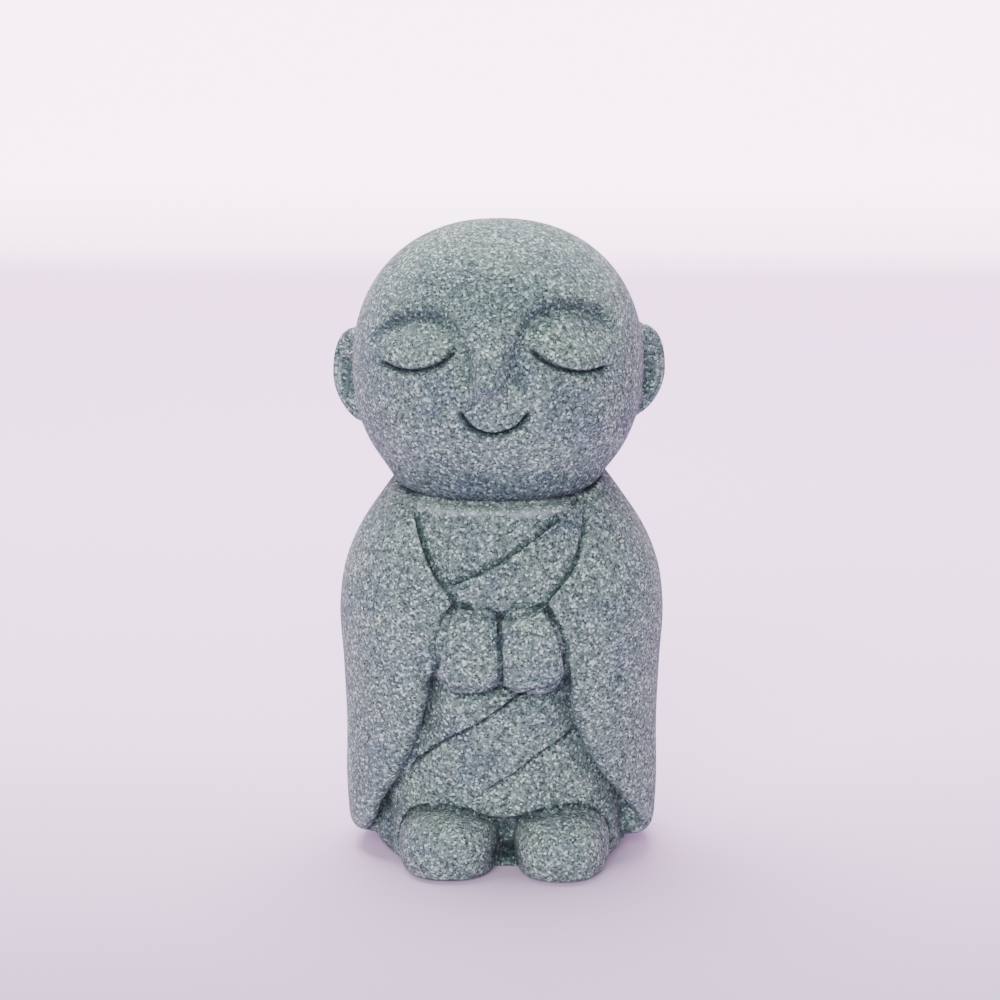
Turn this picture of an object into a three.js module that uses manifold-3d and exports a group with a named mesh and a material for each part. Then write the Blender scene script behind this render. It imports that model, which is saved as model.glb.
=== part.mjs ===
// A small standing monk, cast in one piece from green-grey sandstone.
// A round bare head with folded ears sits on a robed body: wide sleeves fall at both sides, two mittened
// hands meet in front of the chest, and two rounded feet come out from under the hem.
// Millimetres, +Z up, the face looks along -Y. The origin is under the middle of the figure, on the ground.
import * as THREE from "three";
import { mergeVertices } from "three/addons/utils/BufferGeometryUtils.js";
import Module from "manifold-3d";

const wasm = await Module();
wasm.setup();

// The figure's height and its share below the chin
const FIGURE_HEIGHT = 65;
const HEAD_HEIGHT = 29.2;
const CHIN_HEIGHT = FIGURE_HEIGHT - HEAD_HEIGHT; // the underside of the head
const NECK_REACH = 4.8; // how far the garments reach up into the head
const CHIN_SINK = 3.2; // how far the head sinks into the neckline beside the chin
const BODY_HEIGHT = CHIN_HEIGHT + NECK_REACH;

// Driving dimensions of the head
const HEAD_WIDTH = 29.4;
const HEAD_DEPTH = 28.4;
const HEAD_FULLNESS = 2.2; // exponent of its outline: 2 is an ellipse, more is squarer
const HEAD_TURN = 3; // degrees, towards the figure's own right
const HEAD_ASIDE = -0.35; // how far the head's middle stands off the body's

// Driving dimensions of the face, measured from the head's middle
const BROW_TOP = 7.3; // height of the brow arch
const BROW_REACH = 6.7; // from the nose line to the top of the arch
const BROW_HALF_WIDTH = 6.1;
const BROW_DROP = 4.6; // from the top of the arch to its ends
const BROW_TO_NOSE = 1.25; // how much steeper the arch falls towards the nose
const BROW_TO_TEMPLE = 0.8; // how much flatter towards the temple
const BROW_DEPTH = 0.6; // how far the socket is sunk under the brow
const SOCKET_REACH = 3.2; // how far below the brow the socket runs out
const BROW_LINE = 0.34; // radius of the tool that cut the brow arches
const LID_HEIGHT = 1.15; // how far the lid's line lies above the head's middle
const LID_HALF_LENGTH = 3.75;
const LID_SAG = 1.9;
const LID_TILT = -0.8; // its outer end lies lower
const LID_ASIDE = 0.5; // its middle lies outside the top of the brow
const LID_SWELL = 0.5;
const LID_RISE = 1.6; // the swelling's middle above the lid's line
const LID_SPREAD = 3.4; // how far it swells sideways
const LID_TALL = 2.2; // and up and down
const SMILE_HALF_LENGTH = 3.25;
const SMILE_CORNER = -2.3;
const SMILE_SAG = 2.4;
const FACE_LINE = 0.27; // radius of the tool that cut the eyes and the mouth
const NOSE_TIP = 0.1;
const NOSE_HEIGHT = 1.35;
const NOSE_HALF_WIDTH = 1.5;
const NOSE_LENGTH = 5.5;
const NOSE_NARROWS = 0.35; // share of its width that it loses up to the brows

// Driving dimensions of the ears
const EAR_HEIGHTS = { left: 10, right: 9.2 };
const EAR_WIDTH = 5.6;
const EAR_THICKNESS = 2.5;
const EAR_DROPS = { left: 1, right: 0.75 }; // the ear's middle below the head's middle
const EAR_STANDS = 0.25; // the ear's middle outside the head's side
const EAR_BACK = 0.7;
const EAR_FLARE = 52; // degrees that the flap stands open
const EAR_RIM = 0.9; // width of the rolled edge round the hollow
const EAR_HOLLOW_OUT = 1.2; // how far outside the flap's middle the hollow's middle lies
const EAR_HOLLOW_RISE = 0.5;
const LOBE_TAPER = 0.35; // share of the width that the lobe loses
const LOBE_FORWARD = 0.5;
const LOBE_INWARD = 0.9;

// Driving dimensions of the mantle, whose sides are the sleeves. In each list a pair is a height, in percent of the
// body's, and a distance from the figure's middle there.
const MANTLE_HEM = 1.7; // height of its hem over the ground
const MANTLE_FULLNESS = 2.3;
const HEM_ROUND = 1.1;
const MANTLE_HALF_WIDTHS = [[4.2, 15.5], [14.8, 15.95], [34.5, 15.95], [49.3, 16.15], [64, 16.5], [73.9, 15.9], [83.7, 14.2], [91.1, 12.2], [100, 9.6]];
const MANTLE_FRONTS = [[4.2, 9.6], [14.8, 10.5], [29.6, 11.8], [49.3, 12.9], [64, 13.2], [76.4, 12.5], [86.2, 11.4], [93.6, 10.1], [100, 9]];
const MANTLE_BACKS = [[4.2, 14.95], [19.7, 14.9], [39.4, 14.5], [59.1, 13.7], [73.9, 12.6], [86.2, 11.1], [100, 8.6]];

// The opening's two edges, up the front: beside the skirt, the hands, the waist and the bib
const OPENING_LEFT = [[1.2, 14], [8.6, 12.65], [17.5, 11.2], [22.9, 9.9], [29.3, 8.55], [34.7, 7.8], [41.9, 7.15], [50.5, 6.35], [60.6, 5.45], [70, 4.2], [72.7, 4.9], [78.3, 6.5], [86.5, 7.8], [93.6, 8.4], [102.2, 8.7]];
const OPENING_RIGHT = [[1.2, 15.2], [9.6, 14.1], [17.7, 12.2], [23.4, 10.9], [29.8, 9.6], [35.5, 8.65], [41.9, 7.95], [50.7, 7.25], [60.8, 6.6], [70.4, 5.2], [73.2, 5.9], [78.6, 7.6], [86.7, 8.5], [93.6, 8.7], [102.2, 8.7]];
const OPENING_BACK = 3.5; // how far forward the opening's back stays at the sides of the skirt
const EDGE_GROOVE = 0.5; // radius of the groove between the bib, the hands and the mantle's edges

// Driving dimensions of the robe under it, in pairs as the mantle's
const ROBE_FULLNESS = 2.25;
const ROBE_TOP = 98.5; // percent of the body's height, as the next four
const WAIST = 64;
const SKIRT_LOW = 12; // where the layers of the skirt start
const CHEST_LOW = 59; // where the layer over the chest starts
const CHEST_HIGH = 96.5; // and where it ends
const ROBE_HALF_WIDTHS = [[0, 13.3], [14.8, 12.9], [34.5, 12.7], [59.1, 12.9], [73.9, 12.7], [83.7, 12], [91.1, 10.9], [98.5, 9]];
const ROBE_FRONTS = [[0, 10], [9.9, 10.2], [19.7, 10.3], [34.5, 10.4], [49.3, 10.8], [64, 11.9], [73.9, 12.2], [83.7, 11.7], [91.1, 10.9], [98.5, 8.8]];
const ROBE_BACKS = [[0, 13.2], [24.6, 13.2], [49.3, 12.6], [73.9, 11.2], [98.5, 7.6]];
const WRAP_STEP = 0.55; // thickness of one layer of cloth
const FOLD_GROOVE = 0.3; // radius of the shadow line under the edge of a layer
const COLLAR_RISE = 1.95; // the neckline above the chin's underside
const COLLAR_BAND = 0.62;

// Driving dimensions of the hands and feet
const HAND_RISE = 58.9; // the hands' middle, in percent of the body's height
const HAND_HEIGHT = 8.7;
const HAND_DEPTH = 7.4;
const HAND_FORWARD = 11.1;
const HAND_REACH = 6.55; // from the parting line to the outer side
const HAND_OVERLAP = 0.5;
const HAND_TAPER = 0.13; // how much narrower the top is than the middle
const HAND_LEAN = 0.6; // how far the top leans back
const HAND_ASIDE = 0.42;
const PARTING_GROOVE = 0.34;
const FOOT_LENGTH = 17;
const FOOT_HEIGHT = 7.2;
const FOOT_WIDTHS = { left: 9.8, right: 9.5 };
const FOOT_FRONT = 15;
const FOOT_BELLY = 3.3; // height at which a foot is widest
const FOOT_GAP = 2;
const FOOT_ASIDE = 0.7; // how far the middle of the gap lies off the figure's middle
const HEM_DIP = 1.2; // how much lower the hem lies between the feet
const HEM_RECESS = 1.5; // how far the robe steps back under the hem, between the feet
const HEM_LIP = 0.55; // radius of the hem's rolled edge over the feet
const HEM_LIP_SINK = 0.16; // how far the middle of that edge lies behind the robe's front
const HEM_LIP_RISE = 0.11; // and above the hem's line
// The hem over one foot, in pairs of a share of the foot's half width, outwards from its middle, and a drop
const HEM_OVER_FOOT = [[0.84, 5.9], [0.92, 4.2], [0.84, 2.4], [0.48, 0.7], [0.14, 0], [-0.32, 0.4], [-0.7, 1.05]];

const HEM_ARCH = FOOT_HEIGHT - 0.2; // top of the hem over each foot
const HEM_MIDDLE = HEM_ARCH - HEM_DIP;
const HAND_MIDDLE = rise(HAND_RISE);

const FAR = 2 * FIGURE_HEIGHT; // longer than anything that a cutting block has to pass through
const UNDERGROUND = 10; // how far cutters reach below the ground

const degrees = THREE.MathUtils.degToRad;
const headMiddle = new THREE.Vector3(HEAD_ASIDE, 0, CHIN_HEIGHT + HEAD_HEIGHT / 2);

// A height given in percent of the body's.
function rise(percent) {
  return (percent / 100) * BODY_HEIGHT;
}

// A smooth value at any height, through a few pairs of a height in percent and a value.
function profile(pairs) {
  const heights = pairs.map((pair) => rise(pair[0]));
  const values = pairs.map((pair) => pair[1]);
  const curve = new THREE.CubicInterpolant(heights, values, 1, [0]);
  return (height) => curve.evaluate(THREE.MathUtils.clamp(height, heights[0], heights.at(-1)))[0];
}

// A closed three.js geometry as a solid that can be cut and joined.
function solid(geometry) {
  const bare = geometry.clone();
  bare.deleteAttribute("normal");
  bare.deleteAttribute("uv");
  const merged = mergeVertices(bare, 1e-4);
  const vertProperties = new Float32Array(merged.attributes.position.array);
  const triVerts = new Uint32Array(merged.index.array);
  return new wasm.Manifold(new wasm.Mesh({ numProp: 3, vertProperties, triVerts }));
}

// Moves every vertex of a geometry with a function of its place.
function shaped(geometry, move) {
  const place = geometry.attributes.position;
  const point = new THREE.Vector3();
  for (let i = 0; i < place.count; i += 1) {
    move(point.fromBufferAttribute(place, i));
    place.setXYZ(i, point.x, point.y, point.z);
  }
  return geometry;
}

// A ball with half sizes along x, y and z and a fullness, with its poles at the top and the bottom.
function ball(halfX, halfY, halfZ, fullness, columns, rows) {
  const sphere = new THREE.SphereGeometry(1, columns, rows).rotateX(Math.PI / 2);
  return shaped(sphere, (p) => {
    const sum = Math.abs(p.x / halfX) ** fullness + Math.abs(p.y / halfY) ** fullness + Math.abs(p.z / halfZ) ** fullness;
    p.multiplyScalar(sum ** (-1 / fullness));
  });
}

// The height of a brow's arch at a distance from the nose line.
function browHeight(side) {
  const across = (side - BROW_REACH) / BROW_HALF_WIDTH;
  return BROW_TOP - BROW_DROP * across ** 2 * (across < 0 ? BROW_TO_NOSE : BROW_TO_TEMPLE);
}

// The face's relief, outwards from the plain head: sunk eye sockets, swelling lids and the nose.
function faceRelief(x, z) {
  const side = Math.abs(x);
  const across = (side - BROW_REACH) / BROW_HALF_WIDTH;
  const below = browHeight(side) - z;
  const within = THREE.MathUtils.smoothstep(1.25 - Math.abs(across), 0, 0.45);
  const sunk = THREE.MathUtils.smoothstep(below, -BROW_LINE, BROW_LINE) * Math.exp(-Math.max(below, 0) / SOCKET_REACH);
  const socket = -BROW_DEPTH * within * sunk;
  const lidAside = (side - BROW_REACH - LID_ASIDE) / LID_SPREAD;
  const lidUp = (z - LID_HEIGHT - LID_RISE) / LID_TALL;
  const lid = LID_SWELL * Math.exp(-(lidAside ** 2) - lidUp ** 2);
  const up = (z - NOSE_TIP) / NOSE_LENGTH;
  const bridge = up >= 0 ? Math.exp(-((up / 0.62) ** 2)) : Math.exp(-((up * NOSE_LENGTH) ** 2) / 0.7);
  const noseHalf = NOSE_HALF_WIDTH * (1 - NOSE_NARROWS * THREE.MathUtils.clamp(up, 0, 1));
  const nose = NOSE_HEIGHT * bridge * Math.exp(-((x / noseHalf) ** 2));
  return socket + lid + nose;
}

// How far forward the plain head's skin lies at a place of the face.
function headForward(x, z) {
  const n = HEAD_FULLNESS;
  const rest = 1 - Math.abs((2 * x) / HEAD_WIDTH) ** n - Math.abs((2 * z) / HEAD_HEIGHT) ** n;
  return (HEAD_DEPTH / 2) * Math.max(rest, 0) ** (1 / n);
}

// Places something made round the head's middle where the head is.
function onNeck(geometry) {
  return geometry.rotateZ(degrees(-HEAD_TURN)).translate(headMiddle.x, headMiddle.y, headMiddle.z);
}

// A round tool drawn along a curve: it cuts a groove, or adds a raised band.
function tool(points, radius, closed = false, steps = 14) {
  const circle = new THREE.Shape().absarc(0, 0, radius, 0, Math.PI * 2);
  const extrudePath = new THREE.CatmullRomCurve3(points, closed);
  return new THREE.ExtrudeGeometry(circle, { steps, curveSegments: 3, extrudePath });
}

// A line cut in the face: a share along it, -1 to 1, gives its place.
function faceLine(place, radius) {
  const count = 11;
  const points = Array.from({ length: count }, (_, i) => {
    const along = (2 * i) / (count - 1) - 1;
    const [x, z] = place(along);
    return new THREE.Vector3(x, -headForward(x, z) - faceRelief(x, z), z);
  });
  return tool(points, radius, false, 13);
}

// An arc that sags in its middle, and rises by a tilt from its left end to its right.
const sagging = (middleX, middleZ, halfLength, sag, tilt) => (along) => [
  middleX + halfLength * along,
  middleZ - sag * (1 - along ** 2) + tilt * along,
];

// A brow's arch on one side, from beside the nose to the temple.
const browArch = (side) => (along) => {
  const distance = BROW_REACH + BROW_HALF_WIDTH * (along < 0 ? 0.82 : 1) * along;
  return [side * distance, browHeight(distance)];
};

// The head: a full ball, with its columns and rows drawn together where the face is.
function makeHead() {
  const columns = 42;
  const rows = 26;
  const closer = 0.42;
  const sphere = new THREE.SphereGeometry(1, columns, rows).rotateX(Math.PI / 2);
  const n = HEAD_FULLNESS;
  shaped(sphere, (p) => {
    const across = Math.hypot(p.x, p.y);
    const turn = Math.atan2(p.x, -p.y);
    const drawn = turn - closer * Math.sin(turn);
    p.x = across * Math.sin(drawn);
    p.y = -across * Math.cos(drawn);
    const sum = Math.abs((2 * p.x) / HEAD_WIDTH) ** n + Math.abs((2 * p.y) / HEAD_DEPTH) ** n + Math.abs((2 * p.z) / HEAD_HEIGHT) ** n;
    const direction = p.clone();
    p.multiplyScalar(sum ** (-1 / n));
    if (direction.y < 0) p.addScaledVector(direction, faceRelief(p.x, p.z) * Math.min(1, -3 * direction.y));
  });
  let head = solid(onNeck(sphere));
  const lidMiddle = BROW_REACH + LID_ASIDE;
  const lines = [
    faceLine(sagging(0, SMILE_CORNER, SMILE_HALF_LENGTH, SMILE_SAG, 0), FACE_LINE),
    faceLine(sagging(-lidMiddle, LID_HEIGHT + LID_SAG / 2, LID_HALF_LENGTH, LID_SAG, -LID_TILT), FACE_LINE),
    faceLine(sagging(lidMiddle, LID_HEIGHT + LID_SAG / 2, LID_HALF_LENGTH, LID_SAG, LID_TILT), FACE_LINE),
    faceLine(browArch(-1), BROW_LINE),
    faceLine(browArch(1), BROW_LINE),
  ];
  for (const line of lines) head = head.subtract(solid(onNeck(line)));
  return head;
}

// One ear: a standing flap, full at the top and narrow at the lobe, with a hollow inside its rim.
function makeEar(name) {
  const halfHeight = EAR_HEIGHTS[name] / 2;
  const taper = (p) => {
    const low = Math.max(0, -p.z / halfHeight);
    p.y *= 1 - LOBE_TAPER * low ** 2;
    p.y -= LOBE_FORWARD * low ** 2;
    p.x -= LOBE_INWARD * low ** 2;
  };
  const flap = shaped(ball(EAR_THICKNESS / 2, EAR_WIDTH / 2, halfHeight, 2.3, 16, 14), taper);
  const hollow = ball(EAR_THICKNESS / 2, EAR_WIDTH / 2 - EAR_RIM, halfHeight - 2 * EAR_RIM, 2.2, 12, 10);
  shaped(hollow, taper).translate(EAR_HOLLOW_OUT, 0, EAR_HOLLOW_RISE);
  const place = (geometry) => {
    geometry.rotateZ(degrees(EAR_FLARE - 90)).translate(HEAD_WIDTH / 2 + EAR_STANDS, EAR_BACK, -EAR_DROPS[name]);
    return name === "left" ? mirrored(geometry) : geometry;
  };
  return solid(onNeck(place(flap))).subtract(solid(onNeck(place(hollow))));
}

// The same geometry on the figure's other side, with its faces still pointing out.
function mirrored(geometry) {
  geometry.scale(-1, 1, 1);
  const index = geometry.index.array;
  for (let i = 0; i < index.length; i += 3) {
    const second = index[i + 1];
    index[i + 1] = index[i + 2];
    index[i + 2] = second;
  }
  return geometry;
}

// The plan of a garment at one height: half width, front and back depth, and fullness.
function garment(halfWidths, fronts, backs, fullness) {
  const halfWidth = profile(halfWidths);
  const front = profile(fronts);
  const back = profile(backs);
  const skin = (angle, height, grown) => {
    const wide = halfWidth(height) + grown;
    const deep = (Math.sin(angle) < 0 ? front(height) : back(height)) + grown;
    const sum = Math.abs(Math.cos(angle) / wide) ** fullness + Math.abs(Math.sin(angle) / deep) ** fullness;
    return sum ** (-1 / fullness);
  };
  const forward = (x, height, grown = 0) => {
    const share = Math.min(1, Math.abs(x) / (halfWidth(height) + grown));
    return (front(height) + grown) * (1 - share ** fullness) ** (1 / fullness);
  };
  return { skin, forward };
}

const mantle = garment(MANTLE_HALF_WIDTHS, MANTLE_FRONTS, MANTLE_BACKS, MANTLE_FULLNESS);
const robe = garment(ROBE_HALF_WIDTHS, ROBE_FRONTS, ROBE_BACKS, ROBE_FULLNESS);

// A garment as a closed solid between the first and the last of some heights.
function loft(cloth, heights, columns, { grown = 0, hemRound = 0 } = {}) {
  const drum = new THREE.CylinderGeometry(1, 1, 1, columns, heights.length - 1).rotateX(Math.PI / 2);
  return shaped(drum, (p) => {
    const row = Math.round((p.z + 0.5) * (heights.length - 1));
    const height = heights[row];
    const over = Math.max(0, 1 - (height - heights[0]) / (hemRound || 1));
    const inset = hemRound * (1 - Math.sqrt(1 - over ** 2));
    const angle = Math.atan2(p.y, p.x);
    const radius = Math.hypot(p.x, p.y) > 0.5 ? cloth.skin(angle, height, grown - inset) : 0;
    p.set(radius * Math.cos(angle), radius * Math.sin(angle), height);
  });
}

// Heights from low to high, evenly spaced, after any that are listed first.
function rising(low, high, count, first = []) {
  return [...first, ...Array.from({ length: count }, (_, i) => low + ((high - low) * i) / (count - 1))];
}

// A flat outline seen from the front, as a block that runs forward from a depth.
function block(outline, fromDepth) {
  return new THREE.ExtrudeGeometry(outline, { depth: FAR, bevelEnabled: false, curveSegments: 3 })
    .rotateX(Math.PI / 2)
    .translate(0, -fromDepth, 0);
}

// The mantle's opening as an outline: up one side and down the other.
function openingOutline() {
  const right = OPENING_RIGHT.map(([percent, away]) => new THREE.Vector2(away, rise(percent)));
  const left = OPENING_LEFT.map(([percent, away]) => new THREE.Vector2(-away, rise(percent))).reverse();
  const outline = new THREE.Shape();
  outline.moveTo(right[0].x, right[0].y);
  outline.splineThru(right.slice(1));
  outline.lineTo(left[0].x, left[0].y);
  outline.splineThru(left.slice(1));
  outline.closePath();
  return outline;
}

function makeMantle() {
  const hemRows = [0, 0.12, 0.4].map((share) => MANTLE_HEM + share * HEM_ROUND);
  const heights = rising(MANTLE_HEM + HEM_ROUND, BODY_HEIGHT, 12, hemRows);
  const whole = solid(loft(mantle, heights, 38, { hemRound: HEM_ROUND }));
  return whole.subtract(solid(block(openingOutline(), OPENING_BACK)));
}

// The groove along a mantle's edge, beside the bib and the hand, from the collar down to the cuff.
function edgeGroove(side) {
  const cuff = HAND_MIDDLE - HAND_HEIGHT / 2;
  const neckline = CHIN_HEIGHT + CHIN_SINK;
  const edge = side < 0 ? OPENING_LEFT : OPENING_RIGHT;
  const between = edge.filter(([percent]) => rise(percent) > cuff && rise(percent) < neckline);
  const points = between.map(([percent, away]) => {
    const x = away * side;
    return new THREE.Vector3(x, -mantle.forward(x, rise(percent)), rise(percent));
  });
  return tool(points, EDGE_GROOVE);
}

// The cloth's edges that cross the robe, seen from the front, from the left of the view to its right, in pairs of a
// place across and a height in percent of the body's
const CHEST_EDGE = [[-9, 70.4], [-4, 75.1], [-0.4, 79.3], [3.4, 85.7], [7.2, 92.6], [10, 98.5]];
const UPPER_EDGE = [[-12, 21.2], [-9.3, 26.4], [-7.5, 30], [-4.9, 34.2], [-2.1, 38.4], [0.5, 43.8], [2.6, 47], [6.5, 50.7], [10, 54.2]];
const LOWER_EDGE = [[-5, 17.2], [-1.6, 21.4], [-0.3, 23.9], [2, 26.8], [4, 30.5], [6.1, 34.2], [7.5, 36.9], [11, 43.8]];

// The part of the front on one side of an edge, up or down to a level.
function beside(edge, level) {
  const outline = new THREE.Shape();
  const line = edge.map(([x, percent]) => new THREE.Vector2(x, rise(percent)));
  outline.moveTo(line[0].x, rise(level));
  outline.lineTo(line[0].x, line[0].y);
  outline.splineThru(line.slice(1));
  outline.lineTo(line.at(-1).x, rise(level));
  outline.closePath();
  return outline;
}

// The robe, with its layers of cloth, each a step proud of the one under it.
function makeRobe() {
  const columns = 36;
  let cloth = solid(loft(robe, rising(0, rise(ROBE_TOP), 13), columns));
  const layers = [
    { edge: LOWER_EDGE, level: ROBE_TOP, low: SKIRT_LOW, high: WAIST, grown: WRAP_STEP },
    { edge: UPPER_EDGE, level: ROBE_TOP, low: SKIRT_LOW, high: WAIST, grown: 2 * WRAP_STEP },
    { edge: CHEST_EDGE, level: CHEST_LOW, low: CHEST_LOW, high: CHEST_HIGH, grown: WRAP_STEP },
  ];
  for (const { edge, level, low, high, grown } of layers) {
    const layer = solid(loft(robe, rising(rise(low), rise(high), 6), columns, { grown }));
    cloth = cloth.add(layer.intersect(solid(block(beside(edge, level), 1))));
    const foot = edge.map(([x, percent]) => {
      const height = rise(percent);
      return new THREE.Vector3(x, -robe.forward(x, height, grown - WRAP_STEP), height);
    });
    cloth = cloth.subtract(solid(tool(foot, FOLD_GROOVE)));
  }
  const under = solid(loft(robe, rising(-UNDERGROUND, HEM_ARCH + 2, 5), columns, { grown: -HEM_RECESS }));
  const recess = solid(block(hemOutline(), 1)).subtract(under);
  return cloth.subtract(recess).add(hemLip()).add(collarBand());
}

// The hem's line: an arch over each foot and a lower bridge between them, from the left to the right.
function hemLine() {
  const middles = footMiddles();
  const over = (name, outwards) =>
    HEM_OVER_FOOT.map(([share, drop]) => [middles[name] + (outwards * share * FOOT_WIDTHS[name]) / 2, HEM_ARCH - drop]);
  return [...over("left", -1), [FOOT_ASIDE, HEM_MIDDLE], ...over("right", 1).reverse()];
}

// The space under the hem between the feet, as an outline.
function hemOutline() {
  const { left, right } = footMiddles();
  const line = hemLine().filter(([x]) => x > left && x < right);
  const outline = new THREE.Shape();
  outline.moveTo(left, -UNDERGROUND);
  outline.lineTo(line[0][0], line[0][1]);
  outline.splineThru(line.slice(1).map(([x, z]) => new THREE.Vector2(x, z)));
  outline.lineTo(right, -UNDERGROUND);
  outline.closePath();
  return outline;
}

// The rolled edge of the hem over the feet.
function hemLip() {
  const points = hemLine().map(([x, z]) => new THREE.Vector3(x, HEM_LIP_SINK - robe.forward(x, z), z + HEM_LIP_RISE));
  return solid(tool(points, HEM_LIP, false, 21));
}

// The rolled neckline under the chin.
function collarBand() {
  const points = Array.from({ length: 24 }, (_, i) => {
    const angle = (2 * Math.PI * i) / 24;
    const height = CHIN_HEIGHT + COLLAR_RISE - 0.35 * Math.sin(angle + Math.PI);
    const radius = robe.skin(angle, height, -COLLAR_BAND * 0.35);
    return new THREE.Vector3(radius * Math.cos(angle), radius * Math.sin(angle), height);
  });
  return solid(tool(points, COLLAR_BAND, true, 24));
}

function footMiddles() {
  return {
    left: FOOT_ASIDE - FOOT_GAP / 2 - FOOT_WIDTHS.left / 2,
    right: FOOT_ASIDE + FOOT_GAP / 2 + FOOT_WIDTHS.right / 2,
  };
}

function makeFeet() {
  const middles = footMiddles();
  const feet = ["left", "right"].map((name) => {
    const halfHeight = FOOT_HEIGHT - FOOT_BELLY;
    const foot = ball(FOOT_WIDTHS[name] / 2, FOOT_LENGTH / 2, halfHeight, 2.5, 20, 13);
    foot.translate(middles[name], -(FOOT_FRONT - FOOT_LENGTH / 2), FOOT_BELLY);
    return solid(foot);
  });
  const ground = solid(new THREE.BoxGeometry(FAR, FAR, UNDERGROUND).translate(0, 0, -UNDERGROUND / 2));
  return feet[0].add(feet[1]).subtract(ground);
}

// The two mittened hands, pressed together at the parting line.
function makeHands() {
  const halfWidth = (HAND_REACH + HAND_OVERLAP) / 2;
  const hands = [-1, 1].map((side) => {
    const hand = ball(halfWidth, HAND_DEPTH / 2, HAND_HEIGHT / 2, 2.7, 18, 12);
    shaped(hand, (p) => {
      const up = p.z / (HAND_HEIGHT / 2);
      const outer = Math.max(0, p.x * side) / halfWidth;
      p.x -= side * outer * HAND_TAPER * HAND_REACH * Math.max(0, up) ** 1.5;
      p.y += HAND_LEAN * Math.max(0, up) ** 2;
    });
    hand.translate(HAND_ASIDE + side * (halfWidth - HAND_OVERLAP), -HAND_FORWARD, HAND_MIDDLE);
    return solid(hand);
  });
  const front = HAND_FORWARD + HAND_DEPTH / 2;
  const parting = [-1.15, -0.6, 0, 0.6, 1.15].map((share) => {
    const back = 0.55 * Math.abs(share) ** 3;
    return new THREE.Vector3(HAND_ASIDE, -front + 0.25 + back, HAND_MIDDLE + (share * HAND_HEIGHT) / 2);
  });
  return hands[0].add(hands[1]).subtract(solid(tool(parting, PARTING_GROOVE, false, 6)));
}

// Everything joined into the one casting.
function makeFigure() {
  let figure = makeMantle().add(makeRobe()).add(makeHands());
  for (const side of [-1, 1]) figure = figure.subtract(solid(edgeGroove(side)));
  figure = figure.add(makeFeet()).add(makeHead());
  for (const name of ["left", "right"]) figure = figure.add(makeEar(name));
  return figure;
}

// A solid as three.js geometry, with its bounding box standing on the origin.
function geometryOf(casting) {
  const mesh = casting.getMesh();
  const geometry = new THREE.BufferGeometry();
  geometry.setAttribute("position", new THREE.BufferAttribute(new Float32Array(mesh.vertProperties), 3));
  geometry.setIndex(new THREE.BufferAttribute(new Uint32Array(mesh.triVerts), 1));
  geometry.computeBoundingBox();
  const { min, max } = geometry.boundingBox;
  geometry.translate(-(min.x + max.x) / 2, -(min.y + max.y) / 2, -min.z);
  geometry.computeVertexNormals();
  return geometry;
}

const sandstone = new THREE.MeshStandardMaterial({ color: 0x8a9594, roughness: 0.9, metalness: 0 });
const monk = new THREE.Mesh(geometryOf(makeFigure()), sandstone);
monk.name = "monk_figure";

const statuette = new THREE.Group();
statuette.add(monk);

export default statuette;
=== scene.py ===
# %% [markdown]
# # A small stone monk
#
# The real thing is a palm-sized standing monk, cast in one piece from sand and resin.
# The cast has soft edges, fine carved lines for the eyes, the mouth and the folds, and a grain
# you can feel. This lesson takes the plain solid of the monk for its measures, lays a fine skin
# over it and carves that, gives the skin a grain, and photographs it in a pale studio.

# %% Open the frame
import math

import bmesh
import bpy
import numpy as np
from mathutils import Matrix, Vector


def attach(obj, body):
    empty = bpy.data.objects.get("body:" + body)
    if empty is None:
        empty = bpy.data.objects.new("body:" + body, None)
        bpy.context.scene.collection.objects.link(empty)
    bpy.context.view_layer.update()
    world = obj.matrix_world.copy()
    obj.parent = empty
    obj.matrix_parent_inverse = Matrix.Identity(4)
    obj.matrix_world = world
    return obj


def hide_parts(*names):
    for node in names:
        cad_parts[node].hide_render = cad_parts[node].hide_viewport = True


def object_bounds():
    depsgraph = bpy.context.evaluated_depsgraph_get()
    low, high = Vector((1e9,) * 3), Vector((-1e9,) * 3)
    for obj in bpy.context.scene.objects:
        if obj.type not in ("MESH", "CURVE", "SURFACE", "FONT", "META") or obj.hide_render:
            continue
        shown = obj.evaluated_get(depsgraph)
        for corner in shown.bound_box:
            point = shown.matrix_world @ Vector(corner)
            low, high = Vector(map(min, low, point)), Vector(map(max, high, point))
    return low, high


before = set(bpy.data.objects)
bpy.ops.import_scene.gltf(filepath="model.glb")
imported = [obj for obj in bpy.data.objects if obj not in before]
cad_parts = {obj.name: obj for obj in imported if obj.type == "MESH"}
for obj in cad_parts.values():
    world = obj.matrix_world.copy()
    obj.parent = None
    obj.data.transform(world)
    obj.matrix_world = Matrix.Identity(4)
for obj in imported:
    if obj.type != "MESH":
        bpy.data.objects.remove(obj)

cad_box = [[float(v) for v in corner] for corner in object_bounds()]
print("the plain solid reaches from", cad_box[0], "to", cad_box[1])

# %% [markdown]
# ## Lines and profiles
#
# A carver knows a figure by its profiles: how wide and how deep it is at each height.
# We write each profile as a few (height, value) pairs in millimetres and let a smooth curve join them.
# The curve's slope at each pair is taken from its two neighbours, so it runs through them without a kink.

# %% A smooth profile through a few pairs
PROFILE_STEPS = 400


def profile(*pairs):
    heights, values = np.array(pairs, float).T
    slopes = np.gradient(values, heights)
    fine = np.linspace(heights[0], heights[-1], PROFILE_STEPS)
    step = np.clip(np.searchsorted(heights, fine, side="right") - 1, 0, len(heights) - 2)
    width = heights[step + 1] - heights[step]
    t = (fine - heights[step]) / width
    start = (1 + 2 * t) * (1 - t) ** 2 * values[step] + t * (1 - t) ** 2 * width * slopes[step]
    end = t**2 * (3 - 2 * t) * values[step + 1] - t**2 * (1 - t) * width * slopes[step + 1]
    return lambda z: np.interp(z, fine, start + end)


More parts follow.
